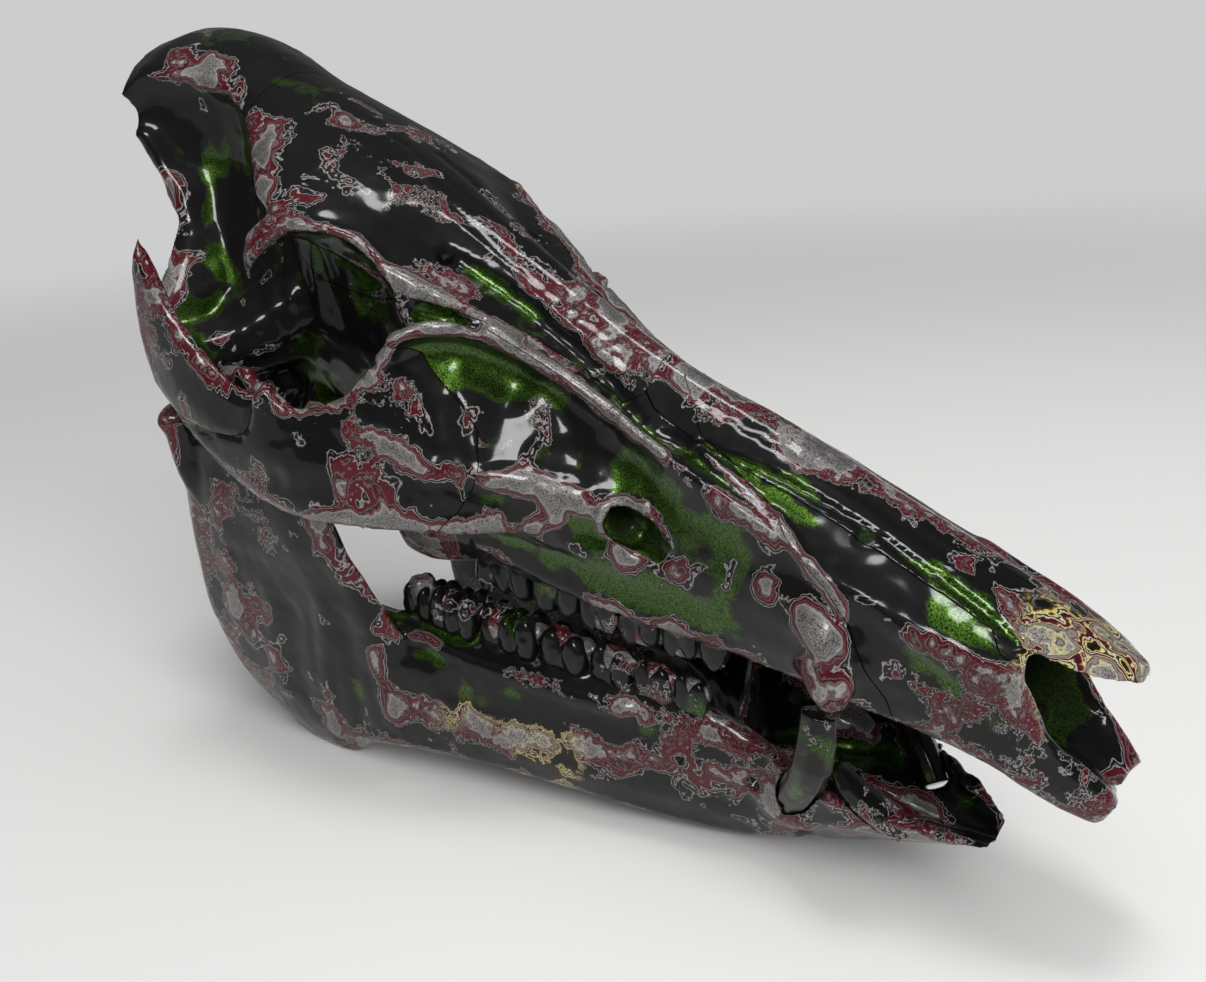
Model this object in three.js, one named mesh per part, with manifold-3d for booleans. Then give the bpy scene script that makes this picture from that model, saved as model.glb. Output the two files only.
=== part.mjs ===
// A pig skull with its lower jaw, life size, resting on the jaw.
// Millimetres: x runs towards the snout, y to the animal's left, z up from the table.
import * as THREE from 'three';
import { mergeVertices } from 'three/addons/utils/BufferGeometryUtils.js';
import Module from 'manifold-3d';

const wasm = await Module();
wasm.setup();

// Driving sizes
const CREST = { x: -151, z: 241, halfWidth: 41, wingZ: 221 };
const NASAL_TIP = { x: 173, z: 82 };
const NASAL_NOTCH = { x: 148, halfWidth: 21 };
const PREMAXILLA_TIP = { x: 169, y: 9.5, z: 46 };
const ORBIT = { x: -45, y: 55, z: 159, roofHalfWidth: 47.5 };
const POSTORBITAL_TIP = { x: -71, y: 52, z: 167 };
const ARCH = { lowX: -50, lowZ: 98.4, backX: -112.5, spikeX: -103, spikeZ: 183 };
const CONDYLE = { x: -112, y: 56, z: 121 };
const CHIN = { x: 68, tipX: 141, tipZ: 22 };
const GAP = 0.35;
const CENTRE_X = (CREST.x + NASAL_TIP.x) / 2;

// Helpers

// A smooth line through a few knots [position, value] that never overshoots them.
function trend(...knots) {
  const sorted = [...knots].sort((a, b) => a[0] - b[0]);
  const slopes = sorted.slice(1).map((k, i) => (k[1] - sorted[i][1]) / (k[0] - sorted[i][0]));
  const lean = sorted.map((_, i) => {
    if (i === 0) return slopes[0];
    if (i === sorted.length - 1) return slopes.at(-1);
    const [before, after] = [slopes[i - 1], slopes[i]];
    return before * after <= 0 ? 0 : (2 * before * after) / (before + after);
  });
  return (at) => {
    if (at <= sorted[0][0]) return sorted[0][1];
    if (at >= sorted.at(-1)[0]) return sorted.at(-1)[1];
    const i = sorted.findIndex((k) => k[0] > at) - 1;
    const width = sorted[i + 1][0] - sorted[i][0];
    const t = (at - sorted[i][0]) / width;
    const [a, b] = [sorted[i][1], sorted[i + 1][1]];
    const bend = t * t * (3 - 2 * t);
    const start = t * (1 - t) * (1 - t) * width * lean[i];
    const end = t * t * (t - 1) * width * lean[i + 1];
    return a + (b - a) * bend + start + end;
  };
}

// Evenly spaced positions from first to last.
function steps(first, last, count) {
  return Array.from({ length: count + 1 }, (_, i) => first + ((last - first) * i) / count);
}

// A closed surface as a solid for joining and cutting, turned so that its faces point out.
function solid(geometry) {
  const bare = geometry.clone();
  bare.deleteAttribute('normal');
  bare.deleteAttribute('uv');
  const merged = mergeVertices(bare, 1e-4);
  const points = merged.getAttribute('position').array;
  let triangles = Uint32Array.from(merged.index.array);
  const corner = (i) => new THREE.Vector3().fromArray(points, 3 * i);
  let volume = 0;
  for (let i = 0; i < triangles.length; i += 3) {
    const [a, b, c] = [0, 1, 2].map((k) => corner(triangles[i + k]));
    volume += a.dot(b.cross(c));
  }
  if (volume < 0) triangles = triangles.reverse();
  return new wasm.Manifold(new wasm.Mesh({ numProp: 3, vertProperties: points, triVerts: triangles }));
}

// A closed skin over rings of points, all with the same number of points; each end closes on its middle.
function skin(rings) {
  const sides = rings[0].length;
  const middle = (ring) => ring.reduce((sum, p) => sum.add(p), new THREE.Vector3()).divideScalar(sides);
  const geometry = new THREE.SphereGeometry(1, sides, rings.length + 1);
  const position = geometry.getAttribute('position');
  for (let row = 0; row <= rings.length + 1; row++) {
    for (let side = 0; side <= sides; side++) {
      let point = rings[row - 1]?.[side % sides];
      if (row === 0) point = middle(rings[0]);
      if (row > rings.length) point = middle(rings.at(-1));
      position.setXYZ(row * (sides + 1) + side, point.x, point.y, point.z);
    }
  }
  return solid(geometry);
}

// A ring across the skull at x, from the half outline [y, z] that runs from the top middle to the bottom
// middle.
// The first `smooth` stretches from the top are rounded with a point halfway.
function symmetricRing(x, half, smooth = 0) {
  const right = half.map(([y, z]) => new THREE.Vector3(x, -y, z));
  const left = half.slice(1, -1).reverse().map(([y, z]) => new THREE.Vector3(x, y, z));
  const curve = new THREE.CatmullRomCurve3([...right, ...left], true, 'centripetal');
  const count = right.length + left.length;
  const halfway = (i) => (i < smooth || i >= count - smooth ? [i, i + 0.5] : [i]);
  const places = Array.from({ length: count }, (_, i) => halfway(i)).flat();
  return places.map((place) => curve.getPoint(place / count));
}

// A ring round middle with half size a along one direction and b along another; low squareness is boxier.
function ovalRing(middle, along, across, a, b, sides, squareness = 1) {
  return Array.from({ length: sides }, (_, i) => {
    const angle = (2 * Math.PI * i) / sides;
    const soften = (v) => Math.sign(v) * Math.abs(v) ** squareness;
    return middle.clone()
      .addScaledVector(along, a * soften(Math.cos(angle)))
      .addScaledVector(across, b * soften(Math.sin(angle)));
  });
}

// A ring between two edge points, as thick as 2 * half, for plates that run along `forward`.
function plateRing(edge, otherEdge, half, sides, squareness = 0.7, forward = new THREE.Vector3(1, 0, 0)) {
  const along = edge.clone().sub(otherEdge);
  const length = along.length() / 2;
  along.normalize();
  const across = new THREE.Vector3().crossVectors(along, forward).normalize();
  return ovalRing(edge.clone().add(otherEdge).multiplyScalar(0.5), along, across, length, half, sides,
    squareness);
}

// A bent, tapered rod along path points, with half widths on the guide direction and across it.
function horn(path, wides, thicks, guideDirection, sides = 10, stepCount = 8) {
  const curve = new THREE.CatmullRomCurve3(path.map((p) => new THREE.Vector3(...p)), false, 'centripetal');
  const wide = trend(...wides.map((w, i) => [i / (wides.length - 1), w]));
  const thick = trend(...thicks.map((w, i) => [i / (thicks.length - 1), w]));
  const guide = new THREE.Vector3(...guideDirection);
  return skin(steps(0, 1, stepCount).map((t) => {
    const forward = curve.getTangent(t);
    const across = new THREE.Vector3().crossVectors(forward, guide).normalize();
    const along = new THREE.Vector3().crossVectors(across, forward).normalize();
    return ovalRing(curve.getPoint(t), along, across, wide(t), thick(t), sides);
  }));
}

// A ball with its own half size on each axis, turned about x, y and z.
function ball(middle, radii, sides = 12, rows = 8, turn = [0, 0, 0]) {
  const geometry = new THREE.SphereGeometry(1, sides, rows);
  geometry.scale(...radii);
  geometry.applyMatrix4(new THREE.Matrix4().makeRotationFromEuler(new THREE.Euler(...turn)));
  geometry.translate(...middle);
  return solid(geometry);
}

// A block over a side-view outline of [x, z] corners, from y = from to y = to.
function sideBlock(outline, from, to) {
  const shape = new THREE.Shape(outline.map(([x, z]) => new THREE.Vector2(x, z)));
  const geometry = new THREE.ExtrudeGeometry(shape, { depth: to - from, bevelEnabled: false });
  geometry.rotateX(Math.PI / 2);
  geometry.translate(0, to, 0);
  return solid(geometry);
}

const join = (...solids) => solids.reduce((sum, part) => sum.add(part));
const cut = (from, ...tools) => tools.reduce((rest, tool) => rest.subtract(tool), from);
const flipped = (part) => part.mirror([0, 1, 0]);
const bothSides = (part) => join(part, flipped(part));
const largest = (part) => part.decompose().reduce((a, b) => (a.volume() > b.volume() ? a : b));

// The dorsal line of the skull in side view, dished between forehead and nose
const dorsal = trend([CREST.x, CREST.z - 2], [-140, CREST.z], [-120, 236.4], [-95, 223], [-70, 209.5],
  [-47, 196.5],
  [-20, 180], [0, 168], [20, 155.5], [40, 144], [55, 136.8], [85, 124.6], [112, 111.5], [140, 98],
    [NASAL_TIP.x, NASAL_TIP.z]);

// Everything but the arches as one skin of cross sections, from the nuchal crest to the nose.
// Behind the orbit each has a roof with sharp edges over a rounded case; in front, a nasal roof between two
// grooves, a ridge from the orbit with a hollow under it, then the cheek, the gum and the palate.
function skullBody() {
  const shoulder = trend([CREST.x, 18], [-125, 12], [-110, 10], [-95, 12], [-80, 17], [-55, 20],
    [-40, 17], [-22, 12],
    [10, 9.5], [40, 9.5], [60, 11.5], [85, 13], [112, 14.5], [150, 14.5]);
  const shoulderDrop = trend([CREST.x, 3], [-110, 2.5], [-80, 3.2], [-55, 3.4], [-40, 3], [-22, 4],
    [20, 7], [40, 8],
    [58, 7.5], [85, 7], [112, 6.5], [150, 5]);
  const groove = trend([CREST.x, 30], [-125, 20], [-110, 16.5], [-95, 20], [-80, 29], [-55, 34],
    [-40, 28], [-26, 19],
    [-18, 17], [0, 14.5], [30, 14.5], [48, 17], [60, 18], [85, 19.5], [112, 20], [150, 18]);
  const grooveDrop = trend([CREST.x, 9.5], [-125, 6], [-110, 5], [-95, 6], [-80, 8.5], [-55, 9],
    [-40, 8.5], [-26, 10],
    [-18, 11], [0, 13], [20, 14], [40, 14.5], [58, 14.5], [85, 13.5], [112, 12.5], [150, 10]);
  const ridge = trend([CREST.x, CREST.halfWidth], [-138, 35], [-125, 27], [-110, 22], [-95, 26], [-80, 39],
    [-68, 46], [-57, ORBIT.roofHalfWidth], [-45, 46.5], [-31, 40.5], [-23, 36.5], [-12, 31.5],
      [0, 27], [12, 23.8],
    [22, 22], [38, 21.2], [48, 22.5], [58, 24], [85, 25], [105, 25], [125, 23],
      [150, NASAL_NOTCH.halfWidth]);
  const ridgeZ = trend([CREST.x, CREST.wingZ], [-138, 227], [-125, 226], [-110, 220], [-95, 211],
    [-80, 197],
    [-68, 189], [-57, 185.5], [-45, 180], [-31, 172], [-23, 168], [-12, 161.5], [0, 154], [12, 146],
      [22, 140.5], [38, 131.5],
    [58, 122], [85, 110], [105, 99], [125, 90], [150, 82]);
  const under = trend([CREST.x, 37], [-110, 19], [-80, 36], [-57, 45], [-40, 40], [-28, 38],
    [-18, 37], [-8, 29], [0, 25], [20, 20.5],
    [40, 20.5], [58, 23.5], [85, 25], [105, 25.5], [150, 20.5]);
  const underDrop = trend([CREST.x, 6], [-57, 6], [-18, 6], [0, 6.5], [40, 7], [85, 5], [150, 5]);
  const hollow = trend([CREST.x, 34], [-125, 21], [-110, 19], [-95, 22], [-80, 26], [-60, 26],
    [-42, 24], [-33, 26], [-27, 34], [-18, 41],
    [-10, 35], [-3, 29], [5, 25], [12, 23], [22, 21.5], [40, 21.5], [58, 23], [85, 24.5], [105, 27],
      [125, 22], [150, 19]);
  const hollowZ = trend([CREST.x, 196], [-125, 198], [-95, 190], [-68, 176], [-42, 162], [-26, 154],
    [-12, 150],
    [0, 143], [20, 129], [40, 119], [58, 109], [85, 97], [105, 90], [125, 80], [150, 71]);
  const cheek = trend([CREST.x, 30], [-125, 33], [-100, 34], [-80, 30], [-55, 23], [-42, 21],
    [-30, 25], [-24, 43],
    [-14, 48], [0, 45], [20, 36.5], [40, 29], [58, 26.5], [85, 26.5], [105, 31], [125, 21.5], [150, 17]);
  const cheekZ = trend([CREST.x, 165], [-110, 160], [-80, 150], [-55, 138], [-42, 130], [-24, 121],
    [0, 116],
    [20, 110], [40, 102], [58, 94], [85, 86], [105, 82], [125, 71], [150, 62]);
  const gum = trend([CREST.x, 22], [-110, 24], [-80, 19], [-55, 15], [-42, 15], [-32, 20], [-24, 31],
    [0, 33],
    [20, 31], [40, 28.5], [58, 26.5], [85, 25.5], [105, 30], [125, 18.5], [150, 14]);
  const gumZ = trend([CREST.x, 138], [-110, 132], [-80, 121], [-55, 113], [-42, 108], [-30, 99],
    [-22, 94], [0, 91],
    [20, 88], [40, 84], [58, 80], [85, 76], [105, 74], [125, 63], [150, 54]);
  const rim = trend([CREST.x, 15], [-80, 12], [-55, 10], [-42, 11], [-32, 16], [-24, 28], [0, 30],
    [20, 29], [40, 27],
    [58, 25], [85, 23], [105, 27], [125, 17.5], [150, 12]);
  const rimZ = trend([CREST.x, 134], [-110, 127], [-80, 116], [-55, 107.5], [-42, 102], [-32, 90],
    [-24, 81.5],
    [0, 78], [20, 76], [40, 73], [58, 70], [85, 67], [105, 66.5], [125, 57], [150, 50]);
  const inner = trend([CREST.x, 10], [-55, 7], [-32, 10], [-24, 20], [0, 22], [40, 19], [85, 15],
    [105, 18], [125, 11],
    [150, 8]);
  const palate = trend([CREST.x, 6], [-32, 5], [-22, 13], [40, 12], [85, 10], [150, 4]);
  const palateZ = trend([CREST.x, 132], [-110, 125], [-80, 114.5], [-55, 106], [-42, 101], [-32, 94],
    [-22, 90],
    [40, 81], [85, 75], [125, 64], [150, 54]);
  const lean = trend([CREST.x, 0.27], [-135, 0.2], [-110, 0.05], [-90, 0]);
  const positions = [...steps(CREST.x, -110, 4), ...steps(-98, -49, 4), ...steps(-38, -18, 4),
    ...steps(-8, 150, 11)];
  const rings = positions.map((x) => {
    const ring = symmetricRing(x, [
      [0, dorsal(x)],
      [0.5 * shoulder(x), dorsal(x) - 0.28 * shoulderDrop(x)],
      [shoulder(x), dorsal(x) - shoulderDrop(x)],
      [groove(x), dorsal(x) - grooveDrop(x)],
      [ridge(x), ridgeZ(x)],
      [under(x), ridgeZ(x) - underDrop(x)],
      [hollow(x), hollowZ(x)],
      [cheek(x), cheekZ(x)],
      [gum(x), gumZ(x)],
      [rim(x), rimZ(x)],
      [inner(x), rimZ(x) + 1],
      [palate(x), palateZ(x)],
      [0, palateZ(x) + 1],
    ], 5);
    ring.forEach((p) => { p.x += lean(x) * (dorsal(x) - p.z); });
    return ring;
  });
  const dish = (scale, forward) => {
    const centre = new THREE.Vector3(rings[0][0].x + 12, 0, 188);
    return rings[0].map((p) => {
      const moved = p.clone().sub(centre).multiplyScalar(scale).add(centre);
      moved.x += forward;
      return moved;
    });
  };
  return skin([dish(0.45, 7), dish(0.85, 2.5), ...rings]);
}

// Cheek bone and temporal arch of the right side, a tall thin plate that ends behind in an upright spike.
function arch() {
  const top = trend([30, 104], [15, 110], [0, 118], [-8, 128], [-14, 141], [-20, 152], [-26, 147],
    [-30, 138],
    [-38, 133], [-51, 131], [-59, 141], [-67, 136.5], [-78, 142], [-88, 152], [-96, 162], [-101, 174],
    [ARCH.spikeX, ARCH.spikeZ], [-108, 176], [ARCH.backX, 152]);
  const low = trend([30, 96], [0, 95.5], [-18, 96.5], [ARCH.lowX, ARCH.lowZ], [-70, 103.5], [-90, 113.5],
    [-106, 126], [ARCH.backX, 133]);
  const topY = trend([30, 26], [15, 32], [0, 38], [-8, 40], [-20, 42], [-30, 51], [-50, 60], [-70, 63.5],
    [-90, 65], [ARCH.backX, 66]);
  const lowY = trend([30, 27], [15, 35], [0, 44], [-19, 54], [-30, 59], [-50, 63.5], [-70, 65], [-90, 65.5],
    [ARCH.backX, 64]);
  const half = trend([30, 3], [0, 5], [-20, 5], [-50, 4.4], [-80, 3.6], [-105, 3.4], [ARCH.backX, 2.4]);
  return skin([...steps(ARCH.backX, -97, 4), ...steps(-89, -58, 4), ...steps(-49, 30,
    9)].map((x) => plateRing(
    new THREE.Vector3(x, -topY(x), top(x)), new THREE.Vector3(x, -lowY(x), low(x)), half(x), 8)));
}

// Root of the arch on the braincase, over the joint surface for the lower jaw
function archRoot() {
  const bridge = horn([[-100, -20, 150], [-106, -40, 142], [-109, -62, 138]], [26, 17, 15],
    [20, 12, 12.5], [1, 0, 0],
    10, 4);
  const edgeX = trend([150, -110], [158, -115], [167, -121], [178, -127], [189, -131], [204, -141],
    [214, -144]);
  const edgeY = trend([150, 61], [158, 59], [167, 50], [178, 38], [189, 35], [204, 36.5], [214, 38]);
  const wall = skin(steps(150, 210, 6).map((z) => plateRing(new THREE.Vector3(edgeX(z), -edgeY(z), z),
    new THREE.Vector3(edgeX(z) + 8, -16, z), 4.5, 8, 0.8, new THREE.Vector3(0, 0, 1))));
  return join(bridge, wall);
}

// Ridge that runs from the front of the orbit along the side of the face
function faceRidge() {
  return horn([[-26, -50.5, 142.5], [-20, -43.5, 150.5], [-11, -35.5, 152], [-3, -29, 150], [8, -24, 145.5],
    [20, -20.5, 139], [37, -19, 129.5]], [2.6, 3.6, 3.5, 3.2, 3, 2.4], [2.8, 4, 4, 3.5, 2.8, 2],
      [0, 1, 0.3], 6, 8);
}

function postorbitalProcess() {
  return horn([[-48, -33, 179], [-60, -43.5, 182], [-68, -50, 177.5],
    [POSTORBITAL_TIP.x, -POSTORBITAL_TIP.y,
    POSTORBITAL_TIP.z]], [8, 8, 5, 1], [4, 4, 3, 1], [1, 0, 0], 8, 6);
}

// Right premaxilla: a bent plate beside the nose opening and a body that meets its fellow at the middle.
function premaxilla() {
  const plate = horn([[122, -18.5, 77], [142, -17.5, 68], [153, -15.5, 57.5], [161, -12.5, 52],
    [PREMAXILLA_TIP.x, -PREMAXILLA_TIP.y, PREMAXILLA_TIP.z]], [16, 14, 7.2, 7, 4.5],
      [3.2, 3.4, 4, 4.2, 3.5], [0, 0, 1],
    10, 7);
  const body = horn([[126, -6, 61], [148, -5.5, 55], [160, -6, 51], [169, -6.5, 46.5]],
    [4, 3.5, 4, 3.2], [7, 7, 6, 5],
    [0, 0, 1], 8, 5);
  return join(plate, body);
}

// Nasal bones beyond the notch
function nasalTip() {
  const half = trend([130, 16], [NASAL_NOTCH.x, 16.5], [160, 14], [168, 9], [NASAL_TIP.x, 3]);
  const under = trend([130, 6.5], [150, 6.2], [160, 5.4], [NASAL_TIP.x, 4]);
  return skin(steps(130, NASAL_TIP.x, 6).map((x) => symmetricRing(x, [
    [0, dorsal(x)], [half(x) * 0.65, dorsal(x) - 2], [half(x), dorsal(x) - under(x)],
    [half(x) * 0.7, dorsal(x) - under(x) - 0.8], [0, dorsal(x) - under(x) + 1.5],
  ])));
}

// Back of the upper jaw, with the last molar still in its crypt
function tuberosity() {
  return horn([[0, -23, 92], [-20, -24, 89.5], [-35, -26, 87], [-45, -27, 86.5]], [13, 14, 13.5, 10],
    [10, 9, 8, 6],
    [0, 0, 1], 10, 6);
}

// Underside of the braincase: joint knobs, long side processes, ear capsules and wings of the palate
function skullBase() {
  const condyle = ball([-124, -13, 134], [9, 8, 12], 10, 6, [0, 0.4, 0]);
  const process = horn([[-112, -26, 146], [-110, -30, 125], [-106, -30, 105], [-101, -28, 90]],
    [9, 7, 5, 2.5],
    [5, 4, 3, 2], [1, 0, 0], 8, 5);
  const earCapsule = ball([-92, -19, 112], [9, 6, 15], 8, 6, [0, 0.15, 0]);
  const earRegion = ball([-107, -24, 124], [12, 9, 13], 8, 6);
  const wing = horn([[-58, -14, 114], [-59, -15, 102], [-61, -16, 90], [-64, -17, 81]], [9, 8, 5, 2.5],
    [4, 3, 2.2, 1.6], [1, 0, 0], 8, 5);
  return join(condyle, process, earCapsule, earRegion, wing);
}

// The nose cavity, seen from the front and through the side notches
function noseCavity() {
  const half = trend([60, 4], [85, 13], [110, 16], [140, 15.5], [185, 14]);
  const roof = trend([60, 118], [85, 117], [110, 107], [140, 92], [185, 72]);
  const floor = trend([60, 112], [85, 95], [110, 80], [140, 66], [185, 44]);
  return skin(steps(60, 185, 7).map((x) => symmetricRing(x, [
    [0, roof(x)], [half(x) * 0.9, roof(x) - 2], [half(x), (roof(x) + floor(x)) / 2],
      [half(x) * 0.7, floor(x) + 1],
    [0, floor(x)],
  ])));
}

// Lower jaw of the right side

// Body: deep and thick, its lower edge nearer the middle towards the chin
function jawBody() {
  const topY = trend([-104, 52], [-78, 47.5], [-60, 43], [-40, 37], [-20, 33], [0, 30], [20, 27.5],
    [40, 25], [60, 22.5],
    [78, 20.5], [90, 20]);
  const lowY = trend([-104, 49], [-78, 46.5], [-60, 44.5], [-40, 40], [-20, 34.5], [0, 30], [20, 26],
    [40, 20.5],
    [60, 13], [78, 9], [90, 9]);
  const half = trend([-104, 3.4], [-85, 4.8], [-65, 7], [-40, 10], [0, 10.5], [40, 8.8], [60, 7.8],
    [78, 7], [90, 5]);
  const low = trend([-104, 16], [-90, 5], [-78, 3], [-60, 6], [-30, 8], [0, 7.5], [30, 5], [50, 1.5],
    [64, -0.8], [78, 2.5], [90, 6]);
  const top = trend([-104, 70], [-78, 66], [-55, 61], [-42, 58.5], [-20, 55.5], [20, 51.5], [66, 46],
    [78, 43], [90, 38]);
  return skin(steps(-104, 90, 10).map((x) => plateRing(new THREE.Vector3(x, -topY(x), top(x)),
    new THREE.Vector3(x, -lowY(x), low(x)), half(x), 10, 0.85)));
}

// Ramus: a broad upright plate behind the teeth, its front edge nearer the middle than its back edge.
function ramus() {
  const back = trend([0, -92], [6, -101], [15, -110], [28, -117], [50, -121.5], [75, -118.5], [100, -116],
    [110, -113], [118, -101], [126, -92], [140, -90]);
  const front = trend([0, -68], [6, -58], [14, -48], [26, -38], [45, -34], [60, -37], [72, -41], [85, -44],
    [100, -48], [115, -56], [128, -65], [140, -77]);
  const backY = trend([0, 42.5], [8, 46], [15, 49], [30, 54], [60, 59], [90, 60.5], [115, 58.5], [140, 55]);
  const frontY = trend([0, 43], [8, 43.5], [20, 43], [40, 43], [60, 46], [75, 51], [90, 55],
    [115, 56], [140, 54]);
  const half = trend([0, 4], [10, 5], [40, 5.6], [60, 5.4], [100, 4.6], [140, 2.5]);
  const out = new THREE.Vector3(0, -1, 0);
  return skin([-1, 4, 9, 16, ...steps(26, 110, 6), 120, 130, 140].map((z) => {
    const fore = new THREE.Vector3(front(z), -frontY(z), z);
    const aft = new THREE.Vector3(back(z), -backY(z), z);
    const along = fore.clone().sub(aft).multiplyScalar(0.5);
    return ovalRing(aft.clone().add(along), along.clone().normalize(), out, along.length(), half(z), 10,
      0.65);
  }));
}

// Joint knob of the jaw. `room` widens it to make its hollow under the arch's root.
function condyle(room = 0) {
  return join(ball([CONDYLE.x, -CONDYLE.y, CONDYLE.z], [7 + room, 12 + room, 6.5 + room], 10, 6),
    horn([[-111, -57, 122], [-110, -58.5, 108], [-107, -59.5, 92]], [10, 8, 4], [7, 6, 5],
      [0, 1, 0], 8, 4));
}

// Chin: both halves meet here in a spout-like shelf that carried the front teeth
function chin() {
  const gutter = trend([58, 16], [75, 24], [95, 26], [115, 22], [130, 20], [CHIN.tipX, 20]);
  const edge = trend([58, 20], [75, 21], [88, 24], [97, 28], [106, 24], [120, 19], [132, 14],
    [CHIN.tipX, 8]);
  const edgeZ = trend([58, 46], [75, 44], [88, 40], [97, 36], [106, 34], [120, 30], [132, 27],
    [CHIN.tipX, CHIN.tipZ + 1]);
  const low = trend([58, 1], [70, 0], [80, 2], [95, 6], [115, 12], [130, 16], [CHIN.tipX, 19]);
  return skin(steps(58, CHIN.tipX, 9).map((x) => symmetricRing(x, [
    [0, gutter(x)], [edge(x) * 0.5, gutter(x) + 1], [edge(x) - 4, edgeZ(x) - 1], [edge(x), edgeZ(x) - 1.5],
    [edge(x) * 0.8, (edgeZ(x) + low(x)) / 2], [edge(x) * 0.36, low(x) + 1.5], [0, low(x)],
  ])));
}

// Teeth

// One lobe of a cheek tooth: a swollen crown on a root, ending in a blunt cusp.
function lobe(base, tip, length, width) {
  const forward = new THREE.Vector3(1, 0, 0);
  const side = new THREE.Vector3(0, 1, 0);
  const at = (t) => new THREE.Vector3().lerpVectors(base, tip, t);
  return skin([[-0.6, 0.8], [0.55, 1], [0.96, 0.66]].map(([t, scale]) =>
    ovalRing(at(t), forward, side, (scale * length) / 2, (scale * width) / 2, 6)));
}

// A row of cheek teeth: lengths and lobes from the last molar forwards, set on a gum line and leaning to
// a side.
function toothRow({ backX, lengths, lobes, widths, gumY, gumZ, height, up }) {
  const pieces = [];
  let x = backX;
  lengths.forEach((length, i) => {
    const step = length / lobes[i];
    for (let k = 0; k < lobes[i]; k++) {
      const at = x + step * (k + 0.5);
      const grown = height(at) * (k % 2 ? 0.93 : 1);
      const base = new THREE.Vector3(at, -gumY(at), gumZ(at));
      const tip = base.clone().add(new THREE.Vector3(0, 0, up * grown));
      pieces.push(lobe(base, tip, step * 1.25, widths[i] * (k === 0 && lobes[i] === 3 ? 0.8 : 1)));
    }
    x += length + 0.6;
  });
  return join(...pieces);
}

function upperTeeth() {
  return toothRow({ backX: -14, lengths: [21, 17, 12.5, 13, 11, 8], lobes: [2, 2, 1, 1, 1, 1],
    widths: [17, 15, 13, 10, 6.5, 5], gumY: trend([-14, 22.5], [40, 21.5], [72, 20]),
    gumZ: trend([-14, 80], [0, 78], [20, 76], [40, 73], [72, 69]), height: trend([-14, 10],
      [30, 10.5], [72, 9]), up: -1 });
}

function lowerTeeth() {
  return toothRow({ backX: -42, lengths: [30, 21, 17, 13.5, 12.5, 10.5], lobes: [3, 2, 2, 1, 1, 1],
    widths: [13.5, 13, 11, 8.5, 6.5, 5], gumY: trend([-42, 32.5], [-20, 30], [0, 27.5], [30, 24.5],
      [66, 21]),
    gumZ: trend([-42, 59], [-20, 56], [20, 52], [66, 46.5]), height: trend([-42, 11.5], [-10, 10.5],
      [30, 9.5], [66, 8.5]),
    up: 1 });
}

// Lower tusk, a curved three-sided tooth. `room` widens it to make its socket.
function tusk(room = 0) {
  return horn([[87 - 2 * room, -15 + 2 * room, 19 - 2 * room], [92, -20.5, 28], [98, -25, 38],
    [102, -27.5, 49],
    [103, -27.5, 61]], [5.2, 5.4, 5.6, 5.9, 5].map((w) => w + room), [5, 4.8, 4.4, 4,
      3].map((w) => w + room),
    [1, 0, 0], 8, 6);
}

function upperTuskStub() {
  return horn([[104, -26, 77], [107, -29, 71], [109.5, -31.5, 65.5]], [8, 7, 3.4], [5, 3.4, 1.8],
    [1, 0, 0], 8, 4);
}

// The last lower front tooth, a short flat peg
function cornerIncisor(room = 0) {
  return horn([[119 + 2 * room, -12 + room, 22 - 2 * room], [114.5, -15.5, 28], [109, -18.5, 34],
    [104, -20, 41]], [4.4, 4.8, 4.8, 2.6].map((w) => w + room),
    [4, 4, 3.6, 1.8].map((w) => w + room), [0, 1, 0], 8, 5);
}

// Whole skull and whole jaw

function wholeSkull() {
  const bones = join(skullBody(), bothSides(arch()), bothSides(archRoot()), bothSides(postorbitalProcess()),
    bothSides(faceRidge()), bothSides(premaxilla()), nasalTip(), bothSides(tuberosity()),
      bothSides(skullBase()));
  const orbit = ball([ORBIT.x, -ORBIT.y, ORBIT.z], [27, 27, 25], 16, 10);
  const spinalHole = ball([-130, 0, 147], [16, 9, 9], 10, 6);
  const throat = ball([-52, 0, 98], [16, 10, 9], 10, 6);
  const infraorbital = horn([[60, -33, 94], [48, -27, 99], [37, -21, 103], [27, -17, 108]],
    [7, 6.5, 5, 3], [7, 6.5, 5, 3],
    [0, 0, 1], 8, 4);
  const hollowed = cut(bones, bothSides(orbit), noseCavity(), spinalHole, throat, bothSides(infraorbital),
    bothSides(condyle(GAP)));
  return join(largest(hollowed), bothSides(upperTeeth()), bothSides(upperTuskStub()));
}

function wholeJaw() {
  const tuskSwelling = ball([88, -16, 26], [15, 8.5, 12], 10, 6, [0, 0.3, 0]);
  const bones = join(bothSides(jawBody()), bothSides(ramus()), bothSides(condyle()), chin(),
    bothSides(tuskSwelling));
  const table = sideBlock([[-200, -20], [-200, 0], [200, 0], [200, -20]], -90, 90);
  return join(largest(cut(bones, table)), bothSides(lowerTeeth()));
}

// Sutures: thin gaps between the bones

// A thin sheet seen edge on in side view along a line of [x, z] points, from y = from to y = to.
function sheet(line, from, to) {
  const offset = line.map(([x, z], i) => {
    const [before, after] = [line[Math.max(i - 1, 0)], line[Math.min(i + 1, line.length - 1)]];
    const along = new THREE.Vector2(after[0] - before[0], after[1] - before[1]).normalize();
    return [x - GAP * along.y, z + GAP * along.x];
  });
  return sideBlock([...line, ...offset.reverse()], from, to);
}

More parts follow.
